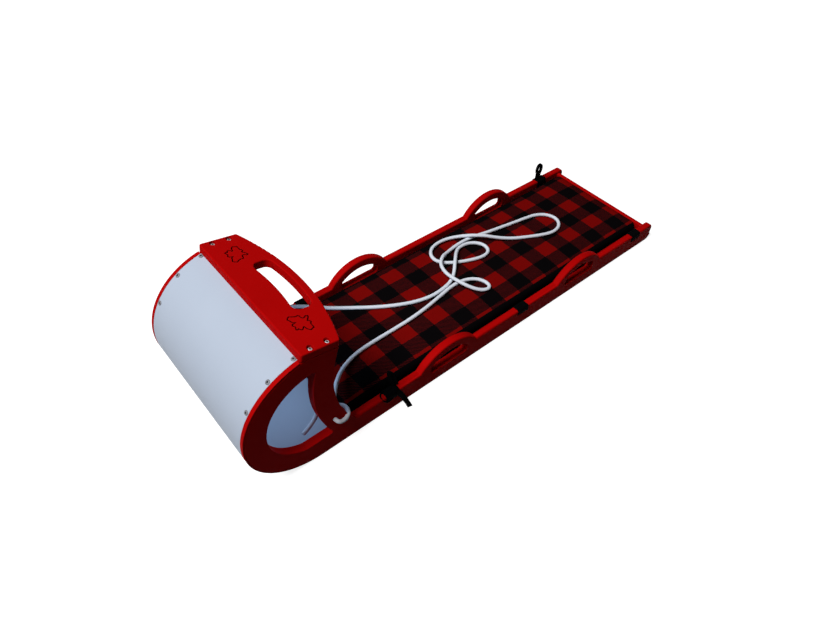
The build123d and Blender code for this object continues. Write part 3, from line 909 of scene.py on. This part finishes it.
steel = speckled(
    "zinc_screw", plain=(0.55, 0.56, 0.58), dark=(0.42, 0.43, 0.45), light=(0.68, 0.69, 0.71),
    scale=1200.0, detail=3.0, roughness=0.35, specular=0.5, metallic=0.85, bumpy=True,
)
coated = speckled(
    "grey_coated_screw", plain=(0.18, 0.18, 0.20), dark=(0.14, 0.14, 0.16), light=(0.26, 0.26, 0.28),
    scale=900.0, detail=3.0, roughness=0.5, specular=0.2, metallic=0.2, bumpy=True,
)
# Nearly black inside the six-sided recess: painted shade, since the recess is the screw's own metal.
recess = speckled(
    "recess_painted_shade", plain=(0.02, 0.02, 0.022), dark=(0.012, 0.012, 0.013), light=(0.04, 0.04, 0.042),
    scale=2000.0, detail=2.0, roughness=0.6, specular=0.2, metallic=0.5,
)


def screw(name, place, up, radius, height, finish):
    """A low round-headed screw with a six-sided recess, standing on a surface."""
    turns = [2 * pi * k / HEAD_SIDES for k in range(HEAD_SIDES)]
    vertices = [(r * radius * cos(turn), r * radius * sin(turn), h * height)
                for r, h in HEAD_PROFILE for turn in turns]
    for depth in (1.0, 0.1):
        for turn in turns:
            reach = RECESS_SHARE * cos(pi / 6) / cos((turn % (pi / 3)) - pi / 6) * radius
            vertices.append((reach * cos(turn), reach * sin(turn), depth * height))
    rings = len(HEAD_PROFILE) + 2
    faces = joined_rings(rings, HEAD_SIDES)
    faces.append([(rings - 1) * HEAD_SIDES + k for k in range(HEAD_SIDES)])
    head = mesh_piece(name, vertices, faces, finish)
    head.data.materials.append(recess)
    for polygon in list(head.data.polygons)[-HEAD_SIDES - 1:]:
        polygon.material_index = 1
    head.matrix_world = Matrix.Translation(place) @ Vector(up).to_track_quat("Z", "Y").to_matrix().to_4x4()
    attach(head, "root")


print("screw ready")

# %% [markdown]
# ## Where the screws sit
#
# Three screws hold the sheet along each edge of the curl, at given angles round it. Two at each end, sunk
# in wells, hold the board. It leans with the curl, so places on it are worked out from the front edge of
# its seat.

# %% Ten screws
SHEET_SCREW_ANGLES = (78.0, 57.7, 34.0)
SHEET_SCREW_Y = 0.1635
SHEET_SCREW_SIZE = (0.0050, 0.0014)
BOARD_TILT = radians(9.5)
SEAT_AHEAD = 0.031
BOARD_SCREW_ROWS = (-0.0605, -0.0250)
BOARD_SCREW_Y = 0.1695
WELL_FLOOR = 0.0111
BOARD_SCREW_SIZE = (0.0056, 0.0050)

seat = Vector((CURL_X + SEAT_AHEAD, 0.0, CURL_Z + sqrt(CURL_RADIUS**2 - SEAT_AHEAD**2)))
board_along = Vector((cos(BOARD_TILT), 0.0, sin(BOARD_TILT)))
board_up = Vector((-sin(BOARD_TILT), 0.0, cos(BOARD_TILT)))


def on_board(along, across, above):
    """A place from the seat's front edge: along the board, across it and above its underside."""
    return seat + board_along * along + Vector((0.0, across, 0.0)) + board_up * above


screw_count = 0
for angle in SHEET_SCREW_ANGLES:
    for side in (1, -1):
        out = Vector((cos(radians(angle)), 0.0, sin(radians(angle))))
        place = curl_centre + out * (CURL_RADIUS + RIM_THICK) + Vector((0.0, side * SHEET_SCREW_Y, 0.0))
        screw("sheet_screw_%d" % screw_count, place, out, *SHEET_SCREW_SIZE, coated)
        screw_count += 1
for along in BOARD_SCREW_ROWS:
    for side in (1, -1):
        place = on_board(along, side * BOARD_SCREW_Y, WELL_FLOOR)
        screw("board_screw_%d" % screw_count, place, board_up, *BOARD_SCREW_SIZE, steel)
        screw_count += 1
print("screws:", screw_count)

# %% [markdown]
# ## Two leaves on the board
#
# A leaf outline is routed into the board near each end, as a thin groove. The groove could be painted on,
# but a real one catches light and shadow, so a closed wall along the outline is taken away from the board.
# The two leaves are mirror images and share one table. The modifier also hands on the wall's darker finish, a
# dark red that is painted shade on the cut faces.

# %% Leaf grooves
LEAF = (
    # from the leaf's middle: outwards along the board, then back, in millimetres
    (11.6, -18.9), (8.2, -17.9), (4.5, -16.1), (-0.3, -19.3), (-3.4, -17.5), (-5.1, -10.0), (-8.0, -15.0),
    (-12.6, -15.8), (-18.0, -18.8), (-21.8, -15.8), (-23.7, -11.9), (-20.9, -7.1), (-18.0, -0.8),
    (-19.0, 3.3), (-17.2, 5.6), (-13.0, 5.8), (-8.8, 7.5), (-8.8, 11.2), (-12.0, 15.4), (-10.1, 19.2),
    (-7.2, 18.3), (-3.0, 14.6), (0.8, 11.7), (4.5, 16.1), (7.4, 15.0), (9.1, 12.5), (20.8, 12.2),
    (21.6, 8.3), (23.7, 5.0), (22.4, 2.1), (19.5, 0.4), (18.5, -0.8), (11.6, -1.9), (10.8, -3.8),
    (13.2, -5.4), (16.2, -9.2), (15.3, -11.7), (11.0, -13.8), (12.4, -16.2),
)
# Each leaf's name, side and middle in millimetres: across from the middle line, back from the seat's front
LEAF_PLACES = (("left", 1, 109.7, 47.9), ("right", -1, 118.3, 48.3))
BOARD_T = 0.019
GROOVE_W = 0.0023
GROOVE_DEPTH = 0.0036
CUTTER_SPARE = 0.002

# Dark red for the walls of the grooves and seams: painted shade, since they are cut into the same red
# plastic.
cut_shade_finish = speckled(
    "painted_shade_in_cuts", plain=(0.06, 0.0004, 0.0004), dark=(0.050, 0.0003, 0.0003), light=(0.070, 0.0005, 0.0005),
    scale=600.0, detail=2.0, roughness=0.8, specular=0.01,
)


def groove_cutter(name, side, middle, back):
    """A thin closed wall along one leaf, a little taller than the groove."""
    outline = np.array([(-(back + y) / 1000, side * (middle + x) / 1000) for x, y in LEAF])
    before, after = np.roll(outline, 1, axis=0), np.roll(outline, -1, axis=0)
    first = (outline - before) / np.linalg.norm(outline - before, axis=1)[:, None]
    second = (after - outline) / np.linalg.norm(after - outline, axis=1)[:, None]
    normals = np.stack([first[:, 1] + second[:, 1], -first[:, 0] - second[:, 0]], axis=1)
    normals /= np.linalg.norm(normals, axis=1)[:, None]
    square = (normals * np.stack([first[:, 1], -first[:, 0]], axis=1)).sum(axis=1)
    offset = normals * (GROOVE_W / 2 / np.maximum(0.5, square))[:, None]
    top, bottom = BOARD_T + CUTTER_SPARE, BOARD_T - GROOVE_DEPTH
    vertices = []
    for edge, above in ((1, top), (-1, top), (-1, bottom), (1, bottom)):
        vertices += [on_board(a, b, above) for a, b in outline + edge * offset]
    # A fifth ring is the first one again, which closes the wall
    faces = [[k % len(vertices) for k in face] for face in joined_rings(5, len(outline))]
    return hidden_tool(name, vertices, faces, cut_shade_finish)


for name, side, middle, back in LEAF_PLACES:
    cutter = groove_cutter("leaf_cutter_" + name, side, middle, back)
    combine("grip_board", "leaf_" + name, "DIFFERENCE", cutter).material_mode = "TRANSFER"
print("leaf grooves:", len(LEAF), "corners each")

# %% [markdown]
# ## The joint at the board's ends
#
# Where the board's end lies on a panel, the two reds would run together. The real joint shows as a fine
# dark line, so a thin sliver is cut off the lower edge of each end, and its cut faces take the grooves'
# dark red, which is painted shade.

# %% Seams at the board's ends
SEAM_ALONG = (-0.092, 0.006)
SEAM_ACROSS = (0.1764, 0.1800)
SEAM_ABOVE = (-0.0004, 0.0020)
BOX_SIDES = ((0, 1, 3, 2), (4, 6, 7, 5), (0, 4, 5, 1), (2, 3, 7, 6), (0, 2, 6, 4), (1, 5, 7, 3))

for side in (1, -1):
    corners = [on_board(a, side * b, c) for a in SEAM_ALONG for b in SEAM_ACROSS for c in SEAM_ABOVE]
    cutter = hidden_tool("seam_cutter_%d" % side, corners, BOX_SIDES, cut_shade_finish)
    # The cutter's dark red, painted shade, goes onto the cut faces.
    combine("grip_board", "seam_%d" % side, "DIFFERENCE", cutter).material_mode = "TRANSFER"
print("seams:", round((SEAM_ABOVE[1] - SEAM_ABOVE[0]) * 1000, 1), "mm high")

# %% [markdown]
# ## Floor and backdrop
#
# Floor and backdrop show the camera white, but send little light back to the sled, which would fill its
# dark sides. A Light Path node tells the two kinds of ray apart. Near the sled the floor glows less, so
# that a shadow can show.

# %% Floor and world
WORLD_LEVEL = 0.026
FLOOR_HALF = 8.0
FLOOR_Z = -0.0003
GLOW_REACH = (1.15, 0.75)


def seen_straight(tree):
    """1 for what the camera sees, also in a reflection or through glass, and 0 for light on the sled."""
    rays = put(tree, "ShaderNodeLightPath").outputs
    reflected = calc(tree, "MAXIMUM", rays["Is Glossy Ray"], rays["Is Transmission Ray"])
    return calc(tree, "MAXIMUM", rays["Is Camera Ray"], reflected)


def pale_floor():
    material = bpy.data.materials.new("pale_floor")
    material.use_nodes = True
    tree = material.node_tree
    tree.nodes.clear()
    squeeze = (1 / GLOW_REACH[0], 1 / GLOW_REACH[1], 0.0)
    shaped = put(tree, "ShaderNodeMapping", ("Vector", on_object(tree)), ("Scale", squeeze)).outputs[0]
    far = put(tree, "ShaderNodeVectorMath", (0, shaped), operation="LENGTH").outputs["Value"]
    strength = put(tree, "ShaderNodeMapRange", ("Value", far), ("From Min", 0.7), ("From Max", 1.0),
                   ("To Min", 0.84), ("To Max", 1.0)).outputs[0]
    matt = put(tree, "ShaderNodeBsdfDiffuse", ("Color", (0.45, 0.45, 0.45, 1.0))).outputs[0]
    glow = put(tree, "ShaderNodeEmission", ("Color", (1.0, 1.0, 1.0, 1.0)), ("Strength", strength)).outputs[0]
    shown = put(tree, "ShaderNodeAddShader", (0, matt), (1, glow)).outputs[0]
    dim = put(tree, "ShaderNodeBsdfDiffuse", ("Color", (0.05, 0.05, 0.05, 1.0))).outputs[0]
    mixed = put(tree, "ShaderNodeMixShader", (0, seen_straight(tree)), (1, dim), (2, shown)).outputs[0]
    put(tree, "ShaderNodeOutputMaterial", ("Surface", mixed))
    return material


floor_corners = [(x * FLOOR_HALF, y * FLOOR_HALF, FLOOR_Z) for x, y in ((-1, -1), (1, -1), (1, 1), (-1, 1))]
floor = mesh_piece("floor", floor_corners, [(0, 1, 2, 3)], pale_floor(), smooth=False)

world = bpy.data.worlds.new("studio")
bpy.context.scene.world = world
world.use_nodes = True
sky = world.node_tree
sky.nodes.clear()
level = calc(sky, "MULTIPLY_ADD", seen_straight(sky), 1.0 - WORLD_LEVEL, WORLD_LEVEL)
backdrop = put(sky, "ShaderNodeBackground", ("Color", (1.0, 1.0, 1.0, 1.0)), ("Strength", level)).outputs[0]
put(sky, "ShaderNodeOutputWorld", ("Surface", backdrop))
print("the world lights the sled with", WORLD_LEVEL, "of what the camera sees")

# %% [markdown]
# ## Lamps
#
# One broad lamp hangs far up in front of the curl, so the tops and the front are bright and the sides that
# face away fall into deep red. It can't reach into the curl, where the picture shows the sheet in pale blue
# light, so a small weak lamp adds that. Neither the camera nor a reflection sees it.

# %% Lamps
def hang_lamp(name, place, aim, size, power, colour=(1.0, 1.0, 1.0), seen=True):
    """A round lamp that shines from one place towards another."""
    shape = bpy.data.lights.new(name, "AREA")
    shape.shape = "DISK"
    shape.size = size
    shape.energy = power
    shape.color = colour
    lamp = bpy.data.objects.new(name, shape)
    bpy.context.scene.collection.objects.link(lamp)
    lamp.location = place
    lamp.rotation_euler = (Vector(place) - Vector(aim)).to_track_quat("Z", "Y").to_euler()
    lamp.visible_camera = seen
    lamp.visible_glossy = seen
    print(name, power, "W at", [round(v, 2) for v in place])


hang_lamp("key_lamp", place=(4.24, -0.20, 6.78), aim=(0.0, 0.0, 0.0), size=3.2, power=628.0)
hang_lamp("curl_glow", place=(0.50, 0.0, 0.25), aim=(0.50, 0.0, 0.0), size=0.12, power=0.31,
          colour=(0.50, 0.72, 1.0), seen=False)
